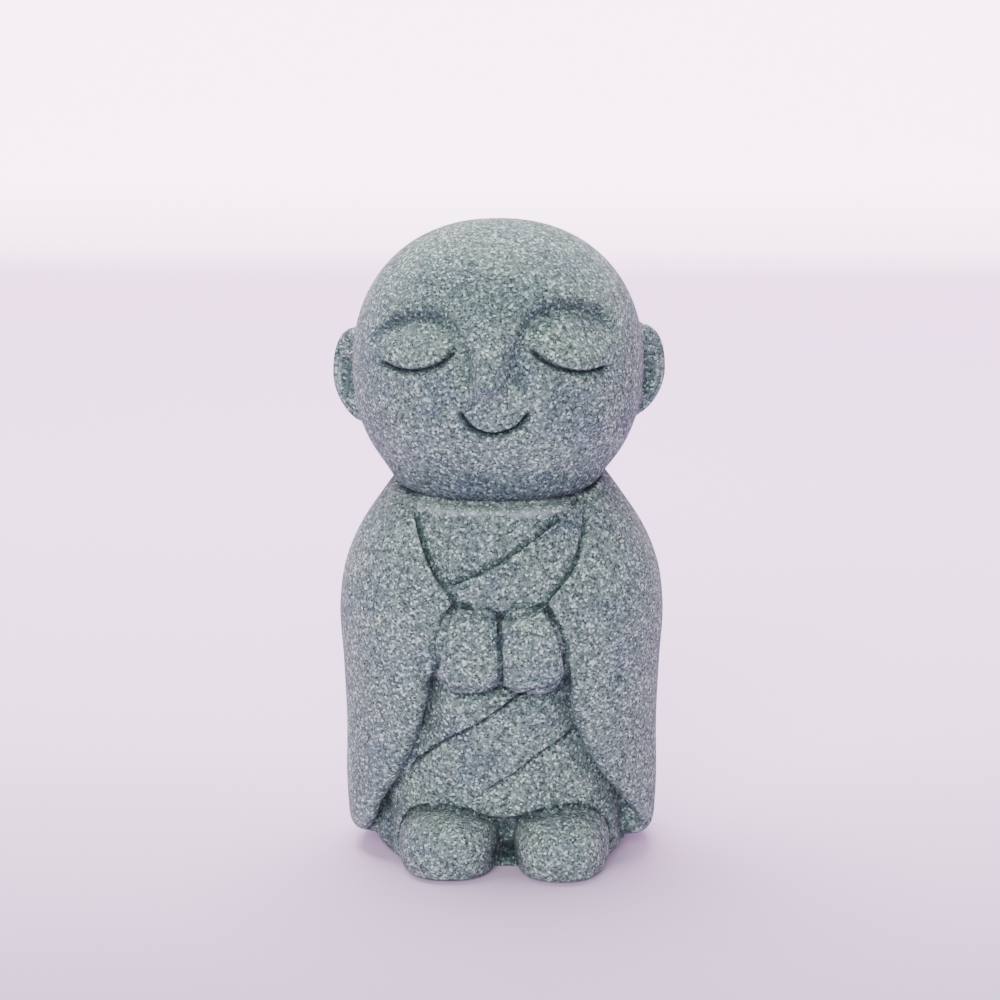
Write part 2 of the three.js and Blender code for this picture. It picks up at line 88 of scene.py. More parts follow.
cone = profile((0, 10), (4, 6), (8, 2))
print("a cone from 10 mm down to 2 mm is", round(float(cone(6.0)), 2), "mm wide at a height of 6 mm")

# %% A smooth line drawn through a few places on the front
LINE_STEPS = 6


def drawn(*places):
    p = np.array(places, float)
    before = np.vstack([2 * p[0] - p[1], p[:-1]])
    after = np.vstack([p[1:], 2 * p[-1] - p[-2]])
    tangent = (after - before) / 2
    line = []
    for i in range(len(p) - 1):
        j = i + 1
        for t in np.linspace(0, 1, LINE_STEPS, endpoint=False):
            start = (1 + 2 * t) * (1 - t) ** 2 * p[i] + t * (1 - t) ** 2 * tangent[i]
            end = t**2 * (3 - 2 * t) * p[j] - t**2 * (1 - t) * tangent[j]
            line.append(start + end)
    return np.array(line + [p[-1]])


bow = drawn((-3, 2), (0, 0), (3, 2))
print("a bow of three places becomes", len(bow), "places")

# %% How far a place lies from a drawn line, and on which side of it
def beside(line, x, z):
    near = np.full(x.shape, 1e3)
    side = np.zeros(x.shape)
    along = np.zeros(x.shape)
    for i, (a, b) in enumerate(zip(line[:-1], line[1:])):
        ux, uz = b - a
        t = np.clip(((x - a[0]) * ux + (z - a[1]) * uz) / (ux * ux + uz * uz), 0, 1)
        dx = x - a[0] - t * ux
        dz = z - a[1] - t * uz
        away = np.hypot(dx, dz)
        closer = away < near
        near = np.where(closer, away, near)
        side = np.where(closer, np.sign(ux * dz - uz * dx), side)
        along = np.where(closer, (i + t) / (len(line) - 1), along)
    return near, side, along


away = beside(bow, np.array([0.0]), np.array([1.0]))[0]
print("a place 1 mm over the middle of the bow lies", round(float(away[0]), 2), "mm from it")

# %% [markdown]
# ## Solids as distances
#
# Wet clay joins without a seam, and so does a cast. Booleans would leave hard seams, so each form is
# written as a distance instead: less than nothing inside it, nothing on its skin, more outside.
# Two distances can then be melted together over any width, which rounds the corner between them.

# %% Melting two distances together, and cutting one from another
def melt(a, b, width):
    share = np.clip(0.5 + 0.5 * (b - a) / width, 0, 1)
    return b + (a - b) * share - width * share * (1 - share)


def cut(a, b, width):
    return -melt(-a, b, width)


def seam(a, b, deep, half):
    return deep * np.exp(-(((a - b) / half) ** 2))


def ramp(value, start, end):
    t = np.clip((value - start) / (end - start), 0, 1)
    return t * t * (3 - 2 * t)


print("where two skins cross, a melt 1 mm wide adds", round(-float(melt(0.0, 0.0, 1.0)), 2), "mm")

# %% A full ball, squarer than an ellipse as its fullness grows
TINY = 1e-6


def full_oval(places, halves, fullness):
    parts = [np.abs(v / h) + TINY for v, h in zip(places, halves)]
    size = sum(p**fullness for p in parts) ** (1 / fullness)
    slope = [(p / size) ** (fullness - 1) / h for p, h in zip(parts, halves)]
    return (size - 1) / np.sqrt(sum(s**2 for s in slope))


def ball(x, y, z, half_x, half_y, half_z, fullness):
    return full_oval((x, y, z), (half_x, half_y, half_z), fullness)


print("2 mm outside a ball of 10 mm, its distance is", round(float(ball(12.0, 0.0, 0.0, 10, 10, 10, 2)), 2))

# %% A garment: at each height a full oval with its own half width, front and back
def garment(x, y, z, half_width, front, back, fullness):
    deep = np.where(y < 0, front(z), back(z))
    return full_oval((x, y), (half_width(z), deep), fullness)


inside = garment(0.0, 0.0, 6.0, cone, cone, cone, 2)
print("a garment cut after that cone is", round(-float(inside), 1), "mm deep from its middle at 6 mm")

# %% [markdown]
# ## The head
#
# The head is a full ball, a little squarer than an ellipse. The face has no bones to speak of:
# a crease runs from beside the nose up over each eye and down to the temple, the lid swells under it,
# and a short nose flows down out of the brows. They are all low hills and valleys on the ball,
# so they are added to the ball's distance as one relief that depends on the place on the face.

# %% The head's place and size, and the lines of its face
HEAD = (-0.35, 0.0, 50.4)
HEAD_HALF = (14.7, 14.2, 14.6)
HEAD_FULLNESS = 2.2

BROWS = [
    drawn((-13.1, 52.3), (-12.3, 54.1), (-11.0, 55.6), (-9.2, 56.6), (-6.85, 57.1), (-4.5, 56.4),
          (-3.1, 55.0), (-2.4, 53.2), (-2.2, 51.2), (-2.3, 49.8)),
    drawn((12.5, 53.0), (11.8, 54.8), (10.5, 56.5), (8.9, 57.5), (6.3, 58.0), (3.9, 57.3),
          (2.4, 55.7), (1.55, 53.6), (1.25, 51.4), (1.3, 49.8)),
]
BROW_DEPTH = 0.8
BROW_FALL = 2.1
LIDS = [(-7.3, 52.8), (7.4, 53.0)]
LID_HALF = (3.9, 2.2)
LID_RISE = 0.5
CHEEK = (7.6, 47.6)
CHEEK_HALF = (3.6, 2.8)
CHEEK_RISE = 0.25
print("the head is", round(2 * HEAD_HALF[0], 1), "mm wide")

# %% The nose: a short ridge from between the brows, and a round tip
NOSE_MIDDLE = -0.6
NOSE_TIP = 50.1
RIDGE_HALF = 1.35
RIDGE_LENGTH = 4.76
RIDGE_END = 0.6
RIDGE_RISE = 1.1
TIP_HALF = (1.5, 0.9)
TIP_RISE = 0.7


def hill(x, z, middle, half, power=2):
    across = np.abs((x - middle[0]) / half[0])
    return np.exp(-(across**power) - ((z - middle[1]) / half[1]) ** 2)


def nose_relief(x, z):
    up = z - NOSE_TIP
    length = np.where(up > 0, np.exp(-((up / RIDGE_LENGTH) ** 4)), np.exp(-((up / RIDGE_END) ** 2)))
    ridge = RIDGE_RISE * np.exp(-(((x - NOSE_MIDDLE) / RIDGE_HALF) ** 4)) * length
    return ridge + TIP_RISE * hill(x, z, (NOSE_MIDDLE, NOSE_TIP), TIP_HALF, power=4)


print("the nose stands out by", round(float(nose_relief(NOSE_MIDDLE, NOSE_TIP)), 2), "mm")


# %% The relief of the face, in millimetres outwards
def brow_socket(brow, mirror, x, z, end):
    near, side, along = beside(brow, x, z)
    fade = ramp(along, 0.0, 0.3) * (1 - ramp(along, end, 1.0))
    return near, -side * mirror * near, fade


def face_relief(x, z):
    relief = np.zeros(x.shape)
    for mirror, brow in zip((1, -1), BROWS):
        inside, fade = brow_socket(brow, mirror, x, z, end=0.92)[1:]
        sunk = ramp(inside, -0.6, 0.6) * np.exp(-np.clip(inside - 0.5, 0, None) / BROW_FALL)
        relief -= BROW_DEPTH * fade * sunk
    for lid in LIDS:
        relief += LID_RISE * hill(x, z, lid, LID_HALF)
    relief += nose_relief(x, z)
    return relief + CHEEK_RISE * hill(np.abs(x), z, CHEEK, CHEEK_HALF)


lid_x, lid_z = np.array(LIDS).T
print("the lids lie", [round(float(v), 2) for v in face_relief(lid_x, lid_z)], "mm out of the plain head")

# %% The head's distance
CHIN_DROP = 0.8
CHIN_FROM = 41.6
CHIN_FULL = 38.2
FACE_BLEND = 3.5
FACE_LOW = -9
FACE_REACH = 6


def head_distance(x, y, z):
    hx, hy, hz = x - HEAD[0], y - HEAD[1], z - HEAD[2]
    plain = ball(hx, hy, hz, *HEAD_HALF, HEAD_FULLNESS)
    facing = np.clip(-hy / FACE_BLEND, 0, 1)
    relief = np.zeros(x.shape)
    front = (facing > 0) & (hz > FACE_LOW) & (np.abs(plain) < FACE_REACH)
    relief[front] = face_relief(x[front], z[front])
    chin = CHIN_DROP * ramp(z, CHIN_FROM, CHIN_FULL) * ramp(-hy, 1.5, 6.0)
    return plain - chin - facing * relief


crown = head_distance(*np.array([[HEAD[0], HEAD[1], 65.0]]).T)
print("65 mm up, the skin of the crown is", round(float(crown[0]), 2), "mm away")

# %% [markdown]
# ## The ears
#
# Each ear is a flap that stands open from the side of the head, wide at the top and narrow at the lobe.
# Its outer face is dished: a rolled rim goes round it, then a thin furrow, a lower ridge and the hollow.
# A turned frame of its own makes this easy: one axis through the flap, one across it and one up.

# %% The ears' distance
EAR_FLARE = math.radians(38)
EARS = [(-1, (-14.5, 1.0, 49.0), 4.8), (1, (13.7, 1.0, 49.7), 4.65)]
EAR_THICK = 1.5
EAR_WIDE = 3.1
EAR_FULLNESS = 2.3
LOBE_BEND = 0.9
LOBE_TAPER = 0.32
FURROW = 0.5
EAR_HOLLOW = 0.9


def ear_distance(x, y, z, side, middle, tall):
    ex, ey, ez = (x - middle[0]) * side, y - middle[1], z - middle[2]
    through = ex * math.sin(EAR_FLARE) - ey * math.cos(EAR_FLARE)
    across = ex * math.cos(EAR_FLARE) + ey * math.sin(EAR_FLARE)
    low = np.clip(-ez / 5, 0, 1.2)
    across = (across - 0.2 + LOBE_BEND * low**2) / (1 - LOBE_TAPER * low**2)
    flap = ball(through, across, ez, EAR_THICK, EAR_WIDE, tall, EAR_FULLNESS)
    out = np.abs(across / EAR_WIDE) ** EAR_FULLNESS + np.abs((ez + 0.1) / tall) ** EAR_FULLNESS
    out = out ** (1 / EAR_FULLNESS)
    dish = FURROW * np.exp(-(((out - 0.7) / 0.09) ** 2)) + EAR_HOLLOW * ramp(out, 0.5, 0.32)
    dish = dish * ramp(through, -0.2, 0.5)
    return flap + dish, dish


print("both ears stand open by", round(math.degrees(EAR_FLARE)), "degrees")

# %% [markdown]
# ## The mantle and its sleeves
#
# The mantle hangs from the shoulders and closes round the back in one plain sweep.
# In front it opens like an hourglass: over the bib, in to the waist, and out again beside the skirt,
# where its two edges are the sleeves. The edges are thick and soft, so the opening is cut with a wide melt.

# %% The mantle's profiles and its two front edges
MANTLE_WIDTH = profile((0, 15.2), (2, 15.6), (6, 15.95), (14, 15.95), (20, 16.2), (26, 16.5), (30, 15.95),
                       (34, 14.3), (37, 12.3), (41, 9.4))
MANTLE_FRONT = profile((0, 9.4), (6, 10.5), (12, 11.9), (20, 13.0), (26, 13.3), (31, 12.6), (34.5, 11.5),
                       (36.5, 10.6), (38, 9.0), (41, 6.0))
MANTLE_BACK = profile((0, 14.9), (8, 14.95), (16, 14.5), (24, 13.7), (30, 12.6), (35, 11.1), (41, 8.4))
MANTLE_FULLNESS = 2.3
MANTLE_HEM = 1.7
SHOULDER_TOP = 41

LEFT_EDGE = profile((0, 14.3), (3.5, 12.8), (7.1, 11.35), (9.3, 10.1), (11.9, 8.8), (14.1, 8.0),
                    (17.0, 7.2), (20.5, 6.35), (24.6, 5.45), (27.2, 4.7), (28.4, 4.2), (29.5, 4.9),
                    (31.8, 6.5), (35.1, 7.8), (38.4, 8.4), (41, 8.6))
RIGHT_EDGE = profile((0, 15.6), (3.9, 14.1), (7.2, 12.2), (9.5, 10.6), (12.1, 9.2), (14.4, 8.2),
                     (17.0, 7.45), (20.6, 7.1), (24.7, 6.5), (27.2, 5.5), (28.6, 4.9), (29.7, 5.9),
                     (31.9, 7.6), (35.2, 8.6), (38.1, 8.7), (41, 8.7))
waist = float(LEFT_EDGE(28.4) + RIGHT_EDGE(28.4))
print("the opening is", round(waist, 1), "mm wide at the waist")


# %% The shallow folds of the back, strongest low down and in the middle
FOLD_PITCH = 0.62
FOLD_LEAN = 0.05


def back_drape(x, y, z):
    behind = ramp(y, 1, 8)
    low = ramp(z, 34, 14)
    sag = np.cos(x * FOLD_PITCH + FOLD_LEAN * (z - 20)) * np.exp(-((x / 9) ** 2))
    return behind * low * sag


print("the folds of the back come every", round(2 * math.pi / FOLD_PITCH, 1), "mm")

# %% The mantle's distance
BACK_FOLD = 0.35
HEM_SOFTNESS = 2.0
OPENING_BACK = 3.5
EDGE_SOFTNESS = 0.6
SLEEVE_SOFTNESS = 1.2


def mantle_distance(x, y, z):
    cloth = garment(x, y, z, MANTLE_WIDTH, MANTLE_FRONT, MANTLE_BACK, MANTLE_FULLNESS)
    cloth = cloth - BACK_FOLD * back_drape(x, y, z)
    cloth = cut(cloth, z - MANTLE_HEM, HEM_SOFTNESS)
    cloth = np.maximum(cloth, z - SHOULDER_TOP)
    opening = np.where(x < 0, -x - LEFT_EDGE(z), x - RIGHT_EDGE(z))
    opening = np.maximum(opening, y + OPENING_BACK)
    lip = EDGE_SOFTNESS + SLEEVE_SOFTNESS * ramp(z, 23, 16)
    return cut(cloth, opening, lip)


print("the mantle is", round(2 * float(MANTLE_WIDTH(26)), 1), "mm wide at the elbows")

# %% [markdown]
# ## The robe under it
#
# The robe is the inner layer: bib, waist and skirt. Strips of cloth cross it from the shoulder
# down to the other hip, and each strip lies a step proud of the next. A step is only an offset
# that comes in over a short width beside a drawn line, so every fold is one line and one height.

# %% The robe's profiles and the lines of its folds
ROBE_WIDTH = profile((0, 11.7), (1, 12.7), (2.5, 13.2), (6, 13.0), (14, 12.8), (24, 12.9), (30, 12.7),
                     (34, 12.0), (37, 10.9), (41, 8.6))
ROBE_FRONT = profile((0, 10.2), (4, 10.3), (8, 10.4), (14, 10.6), (20, 11.0), (26, 12.0), (30, 12.25),
                     (34, 11.7), (36, 11.1), (37, 10.6), (37.6, 9.7), (38.2, 8.3), (41, 6.0))
ROBE_BACK = profile((0, 13.4), (10, 13.2), (20, 12.6), (30, 11.2), (41, 7.4))
ROBE_FULLNESS = 2.25

LAPEL = drawn((-6.4, 29.3), (-3.64, 30.5), (0.03, 32.3), (3.85, 34.85), (7.65, 37.65), (9.6, 39.4))
SECOND_LAPEL = drawn((2.2, 33.0), (5.13, 35.0), (9.33, 37.4), (11.0, 38.6))
UPPER_WRAP = drawn((-10.6, 8.4), (-9.1, 10.0), (-7.32, 12.0), (-4.65, 14.0), (-1.81, 15.7), (0.8, 17.6),
                   (2.99, 19.2), (6.85, 20.6), (9, 21.3))
LOWER_WRAP = drawn((-2.0, 7.8), (0, 9.2), (2.39, 10.8), (4.29, 12.4), (6.47, 13.8), (7.85, 14.7),
                   (9.3, 15.8))
HEM = drawn((-8.3, -0.4), (-9.1, 0.6), (-9.6, 1.8), (-9.75, 3.1), (-9.5, 4.5), (-8.4, 5.9), (-6.1, 6.6),
            (-3.4, 6.35), (-1.3, 5.75), (0.7, 5.55), (3.0, 5.85), (5.0, 6.35), (7.1, 6.6), (9.0, 6.1),
            (10.5, 4.5), (10.85, 3.1), (10.7, 1.8), (10.2, 0.6), (9.3, -0.4))
print("the hem arches up to", round(float(HEM[:, 1].max()), 1), "mm over the feet")


# %% The steps of the cloth: the lapel and two wraps
STEPS = {"lapel": 0.6, "upper_wrap": 0.7, "lower_wrap": 0.6}


def step_at(signed):
    return ramp(signed, -0.1, 0.16)


def wrap_layer(fx, fz):
    below_bib = 1 - ramp(fz, 24, 26)
    near, side, along = beside(LAPEL, fx, fz)
    layer = STEPS["lapel"] * step_at(-side * near) * ramp(fz, 26, 28)
    near, side, along = beside(UPPER_WRAP, fx, fz)
    layer += STEPS["upper_wrap"] * step_at(side * near) * below_bib
    near, side, along = beside(LOWER_WRAP, fx, fz)
    return layer + STEPS["lower_wrap"] * ramp(along, 0.0, 0.3) * step_at(side * near) * below_bib


print("the cloth lies in steps of", sorted(set(STEPS.values())), "mm")

# %% The dips beside the sleeves and under the hands
TROUGH_HALF = 1.3
TROUGH_LOW = 0.5
TROUGH_HIGH = 1.1
WAIST = 19.3
WAIST_HALF = 1.1
WAIST_DIP = 0.8


def dips(fx, fz):
    beside_sleeve = np.where(fx < 0, fx + LEFT_EDGE(fz), RIGHT_EDGE(fz) - fx)
    trough = (TROUGH_LOW + TROUGH_HIGH * ramp(fz, 12, 16)) * ramp(fz, 21.5, 18.5) * ramp(fz, 1, 5)
    low = trough * np.exp(-((np.maximum(beside_sleeve, 0) / TROUGH_HALF) ** 2))
    waist_line = np.exp(-(((fz - WAIST) / WAIST_HALF) ** 2)) * ramp(np.abs(fx - 0.5), 6.5, 4.5)
    return low + WAIST_DIP * waist_line


deepest = dips(np.array([0.5]), np.array([WAIST]))
print("under the hands the robe dips by", round(float(deepest[0]), 2), "mm")

# %% The robe's distance, with the hem's lip and the recess under it
HEM_RECESS = 1.1
HEM_LIP = 0.42
LIP_HALF = 0.55
FEET_DIP = 0.4
FEET_GAP = 0.9
GAP_HALF = 1.3


def robe_distance(x, y, z):
    front = y < 2
    fx, fz = x[front], z[front]
    layer = wrap_layer(fx, fz) - dips(fx, fz)
    near, side, along = beside(HEM, fx, fz)
    under = (side < 0) & (along > 0) & (along < 1) & (fz < 8)
    layer -= HEM_RECESS * np.where(under, ramp(near, -0.05, 0.35), 0)
    above = (side >= 0) & (fz < 9)
    layer += HEM_LIP * np.where(above, np.exp(-(((near - LIP_HALF) / LIP_HALF) ** 2)), 0)
    between_feet = np.exp(-(((fx - FEET_GAP) / GAP_HALF) ** 2))
    layer -= FEET_DIP * between_feet * np.where(under, ramp(near, 0.2, 1.4), 0)
    cloth = garment(x, y, z, ROBE_WIDTH, ROBE_FRONT, ROBE_BACK, ROBE_FULLNESS)
    cloth[front] -= layer
    return np.maximum(cloth, z - SHOULDER_TOP)


print("the robe is", round(2 * float(ROBE_WIDTH(14)), 1), "mm wide inside the mantle")

# %% [markdown]
# ## The collar, the hands and the feet
#
# The collar is a thin roll of cloth just under the chin, a ring that follows the robe's own skin.
# The hands are two mittens without fingers, pressed together and tucked between the sleeves.
# The feet are two loaves under the hem, without toes. Hands and feet are balls of high fullness,
# bent a little: that is how such a simple mould is carved too.

# %% The collar
COLLAR_LEVEL = 37.7
COLLAR_SLOPE = 0.035
COLLAR_PROUD = 0.22
COLLAR_ROLL = 0.45


def collar_distance(x, y, z):
    level = COLLAR_LEVEL + COLLAR_SLOPE * y
    skin = garment(x, y, z, ROBE_WIDTH, ROBE_FRONT, ROBE_BACK, ROBE_FULLNESS)
    return np.hypot(skin - COLLAR_PROUD, z - level) - COLLAR_ROLL


print("the collar is a roll", 2 * COLLAR_ROLL, "mm thick")

# %% The hands, each narrower towards its top
HAND_HALF = (3.65, 3.95, 4.75)
HAND_FULLNESS = 3.1
HAND_TAPER = {-1: 0.16, 1: 0.34}
HAND_LEVEL = 23.7
HAND_FORWARD = 10.6
HAND_LEAN = 0.55
HANDS_MEET = 0.42
HANDS_OVERLAP = 0.65


def hand_distance(x, y, z, side):
    wide, deep, tall = HAND_HALF
    hz = z - HAND_LEVEL
    above = np.clip(hz / tall, 0, 1)
    hx = (x - HANDS_MEET - side * (wide - HANDS_OVERLAP)) * side
    hx = hx / (1 - HAND_TAPER[side] * above**1.3 * (hx > 0))
    hy = y + HAND_FORWARD - HAND_LEAN * above**2
    return ball(hx, hy, hz, wide, deep, tall, HAND_FULLNESS)


print("the hands together are", round(4 * HAND_HALF[0] - 2 * HANDS_OVERLAP, 1), "mm wide")

# %% The feet: middle, half width and height of each
FEET = [(-4.9, 5.2, 6.8), (6.4, 4.9, 6.8)]
FOOT_HALF_LENGTH = 8.05
FOOT_FULLNESS = 2.45
FOOT_FORWARD = 7.0
FOOT_LEVEL = 2.6


def foot_distance(x, y, z, middle, half, height):
    fy, fz = y + FOOT_FORWARD, z - FOOT_LEVEL
    return ball(x - middle, fy, fz, half, FOOT_HALF_LENGTH, height - FOOT_LEVEL, FOOT_FULLNESS)


print("the feet reach", FOOT_FORWARD + FOOT_HALF_LENGTH, "mm forward")


# %% All forms melted into one cast, with a shallow groove along most joints
def join(first, second, width, deep, half):
    return melt(first, second, width) + seam(first, second, deep, half)


def cast(places):
    x, y, z = places.T
    body = melt(mantle_distance(x, y, z), robe_distance(x, y, z), width=0.35)
    body = join(body, collar_distance(x, y, z), width=0.2, deep=0.12, half=0.2)
    hands = melt(hand_distance(x, y, z, -1), hand_distance(x, y, z, 1), width=0.25)
    body = join(body, hands, width=0.12, deep=0.15, half=0.2)
    feet = melt(foot_distance(x, y, z, *FEET[0]), foot_distance(x, y, z, *FEET[1]), width=0.3)
    body = join(body, feet, width=0.2, deep=0.35, half=0.3)
    head = head_distance(x, y, z)
    for side, middle, tall in EARS:
        ear = ear_distance(x, y, z, side, middle, tall)[0]
        groove = seam(head, ear, deep=0.2, half=0.35) * ramp(-y, -1.0, 1.0)
        head = melt(head, ear, width=0.5) + groove
    figure = join(body, head, width=0.3, deep=0.4, half=0.35)
    return cut(figure, z, width=0.5)


under_crown = float(cast(np.array([[HEAD[0], HEAD[1], 64.0]]))[0])
print("1 mm under the crown the cast's distance is", round(under_crown, 2), "mm")

# %% [markdown]
# ## A net over the skin
#
# The skin of the cast lies where the distance is nothing. To find it we lay a grid of small cells over the
# box of the plain solid and ask for the distance at every corner. A cell whose corners lie partly inside
# and partly outside holds one point of the net, at the middle of the places where its edges cross the skin.
# Each crossed edge joins the four cells round it into one small square.

# %% Lay the net, working in millimetres
MM = 1000.0
NET = 0.465
MARGIN = 1.5
LEAN_ASIDE = 0.35
low, high = (np.array(corner) * MM for corner in cad_box)
SET_OFF = np.array([(low[0] + high[0]) / 2 + LEAN_ASIDE, (low[1] + high[1]) / 2, 0.0])


def lay_net(distance, start, end, size):
    count = np.ceil((end - start) / size).astype(int) + 1
    grid = np.indices(count).reshape(3, -1).T
    value = distance(start + grid * size).reshape(count)
    crossings, squares = [], []
    for axis, (u, v) in enumerate(((1, 2), (2, 0), (0, 1))):
        first = np.take(value, range(count[axis] - 1), axis)
        second = np.take(value, range(1, count[axis]), axis)
        crossed = (first < 0) != (second < 0)
        corner = np.argwhere(crossed)
        place = corner.astype(float)
        place[:, axis] += first[crossed] / (first[crossed] - second[crossed])
        cells = []
        for back_u, back_v in ((0, 0), (1, 0), (1, 1), (0, 1)):
            cell = corner.copy()
            cell[:, u] -= back_u
            cell[:, v] -= back_v
            cells.append(np.ravel_multi_index(cell.T, count))
        cells = np.array(cells).T
        crossings.append((cells.ravel(), np.repeat(place, 4, axis=0)))
        leaving = first[crossed] < 0
        squares.append(np.where(leaving[:, None], cells, cells[:, ::-1]))
    cells = np.concatenate([cell for cell, place in crossings])
    places = np.concatenate([place for cell, place in crossings])
    used, number = np.unique(cells, return_inverse=True)
    points = np.stack([np.bincount(number, places[:, axis]) for axis in range(3)], axis=1)
    points /= np.bincount(number)[:, None]
    return start + points * size, np.searchsorted(used, np.concatenate(squares))


points, squares = lay_net(cast, low - SET_OFF - MARGIN, high - SET_OFF + MARGIN, NET)
net = bpy.data.meshes.new("monk_skin")
net.from_pydata(points.tolist(), [], squares.tolist())
skin = bpy.data.objects.new("monk_skin", net)
bpy.context.scene.collection.objects.link(skin)
print("the net has", len(net.vertices), "points")

# %% [markdown]
# ## Sliding the points home
#
# The points lie near the skin, but not on it. Newton's method slides them there: the distance divided by
# its slope tells how far the skin still is, and the slope tells which way.

# %% Slide the points onto the melted skin
def points_of(mesh):
    flat = np.empty(len(mesh.vertices) * 3)
    mesh.vertices.foreach_get("co", flat)
    return flat.reshape(-1, 3)


def place_points(mesh, places):
    mesh.vertices.foreach_set("co", places.ravel())
    mesh.update()


LEAST_STEEP = 0.15


def slope_of(places, step=0.05):
    slope = np.empty(places.shape)
    for axis in range(3):
        aside = np.zeros(3)
        aside[axis] = step
        slope[:, axis] = (cast(places + aside) - cast(places - aside)) / (2 * step)
    return slope


def slide(places, times, most):
    for _ in range(times):
        distance = cast(places)
        slope = slope_of(places)
        steep = np.maximum((slope**2).sum(axis=1), LEAST_STEEP)
        move = -slope * (distance / steep)[:, None]
        far = np.maximum(np.linalg.norm(move, axis=1) / most, 1)
        places = places + move / far[:, None]
    left = float(np.percentile(np.abs(cast(places)), 99))
    print("after sliding, 99 of 100 points lie within", round(left, 3), "mm of the skin")
    return places


place_points(net, slide(points_of(net), times=2, most=0.2))

# %% [markdown]
# ## A finer net where lines are carved
#
# The eyes and the mouth are lines about half a millimetre wide, too narrow for the even net.
# Splitting the net everywhere would waste points, so only the cells near a carved line and at the
# ears are split.

# %% The carved lines of the front: half width and depth of each, in millimetres
FACE_CUT = (0.27, 0.8)
FOLD_CUT = (0.55, 0.28)
CARVED = {
    "left_eye": (drawn((-3.8, 53.65), (-5.5, 52.2), (-7.8, 51.45), (-9.9, 51.4), (-11.8, 52.0)), *FACE_CUT),
    "right_eye": (drawn((3.15, 53.9), (5.05, 52.4), (7.25, 51.5), (9.3, 51.25), (11.1, 51.6)), *FACE_CUT),
    "smile": (drawn((-3.6, 47.75), (-2.7, 46.2), (-1.2, 45.35), (0.45, 45.3), (2.2, 46.1),
                    (3.55, 47.75)), *FACE_CUT),
    "parting": (drawn((0.35, 27.6), (0.38, 26.2), (0.42, 24), (0.5, 21.5), (0.5, 19.2)), 0.16, 0.38),
}
EDGES = {
    "left_bib": (drawn((-8.3, 39.2), (-8.35, 37.6), (-7.75, 35.1), (-6.45, 31.8), (-4.9, 29.45),
                       (-4.0, 28.3), (-4.3, 26.6)), 0.22, 0.3),
    "right_bib": (drawn((8.7, 39.2), (8.7, 37.6), (8.6, 35.2), (7.6, 31.9), (5.8, 29.6), (4.9, 28.4),
                        (5.3, 26.6)), 0.2, 0.42),
    "bib_tip": (drawn((-4.5, 28.7), (-3.0, 27.9), (-1.4, 27.25), (0.3, 26.95), (1.9, 27.15),
                      (3.4, 27.6), (5.0, 28.4)), 0.3, 0.3),
    "left_cuff": (drawn((-4.3, 28.2), (-5.2, 25.0), (-5.75, 22.5), (-6.1, 21.4)), 0.22, 0.32),
    "right_cuff": (drawn((5.0, 28.4), (6.4, 24.9), (6.95, 22.4), (7.2, 20.4)), 0.2, 0.34),
    "lapel": (LAPEL[3:], 0.2, 0.42),
    "second_lapel": (SECOND_LAPEL, 0.25, 0.22),
    "upper_wrap": (UPPER_WRAP[8:-6], 0.2, 0.45),
    "lower_wrap": (LOWER_WRAP[:-6], 0.2, 0.4),
    "under_hands": (drawn((-5.6, 20.7), (-4.6, 20.0), (-2.2, 19.55), (0.5, 19.5), (3.0, 19.6), (5.4, 19.95),
                          (6.6, 20.7)), 0.3, 0.32),
    "hem": (HEM, 0.26, 0.2),
}
FOLDS = {
    "left_fold": (drawn((-11.6, 6.2), (-11.2, 4.0), (-11.4, 0.4)), *FOLD_CUT),
    "right_fold": (drawn((12.6, 5.6), (12.6, 3.4), (13.0, 0.4)), *FOLD_CUT),
}
print("there are", len(CARVED) + len(EDGES) + len(FOLDS), "lines to carve")


# %% Split the cells near the lines, twice for the finest
FIRST_REACH = 0.9
SECOND_REACH = 0.52
EAR_OUT = 13.6
EAR_LEVEL = 49.4


def close_to(places, reach, lines, before):
    close = np.zeros(len(places), bool)
    front = places[:, 1] < before
    for line in lines:
        near = beside(line, places[front, 0], places[front, 2])[0]
        close[np.flatnonzero(front)[near < reach]] = True
    return close


def split(mesh, close):
    work = bmesh.new()
    work.from_mesh(mesh)
    work.verts.ensure_lookup_table()
    edges = [e for e in work.edges if close[e.verts[0].index] and close[e.verts[1].index]]
    bmesh.ops.subdivide_edges(work, edges=edges, cuts=1, use_grid_fill=True)
    bmesh.ops.triangulate(work, faces=[f for f in work.faces if len(f.verts) > 4])
    work.to_mesh(mesh)
    work.free()


every_line = [entry[0] for entry in {**CARVED, **EDGES, **FOLDS}.values()]
places = points_of(net)
at_ears = (np.abs(places[:, 0]) > EAR_OUT) & (np.abs(places[:, 2] - EAR_LEVEL) < 6)
at_ears &= np.abs(places[:, 1] - 1) < 4
split(net, close_to(places, FIRST_REACH, every_line + BROWS, before=-2) | at_ears)
finest = [entry[0] for entry in {**CARVED, **EDGES}.values()]
split(net, close_to(points_of(net), SECOND_REACH, finest, before=-6))
fine = slide(points_of(net), times=2, most=0.3)
print("the split net has", len(net.vertices), "points")


# %% Carve the lines: push the points in along the slope, most in the middle of a line
FACE_FROM = 40
BODY_UP_TO = 41
NECK_FROM = 37
SKIN_REACH = 0.3
END_SHARE = 0.25


def carving(x, z, lines, taper):
    depth = np.zeros(x.shape)
    for line, half, deep in lines.values():
        near, side, along = beside(line, x, z)
        ends = ramp(along, 0, taper) * ramp(1 - along, 0, taper)
        share = END_SHARE + (1 - END_SHARE) * ends
        depth = np.maximum(depth, deep * np.exp(-((near / half) ** 2)) * share)
    return depth


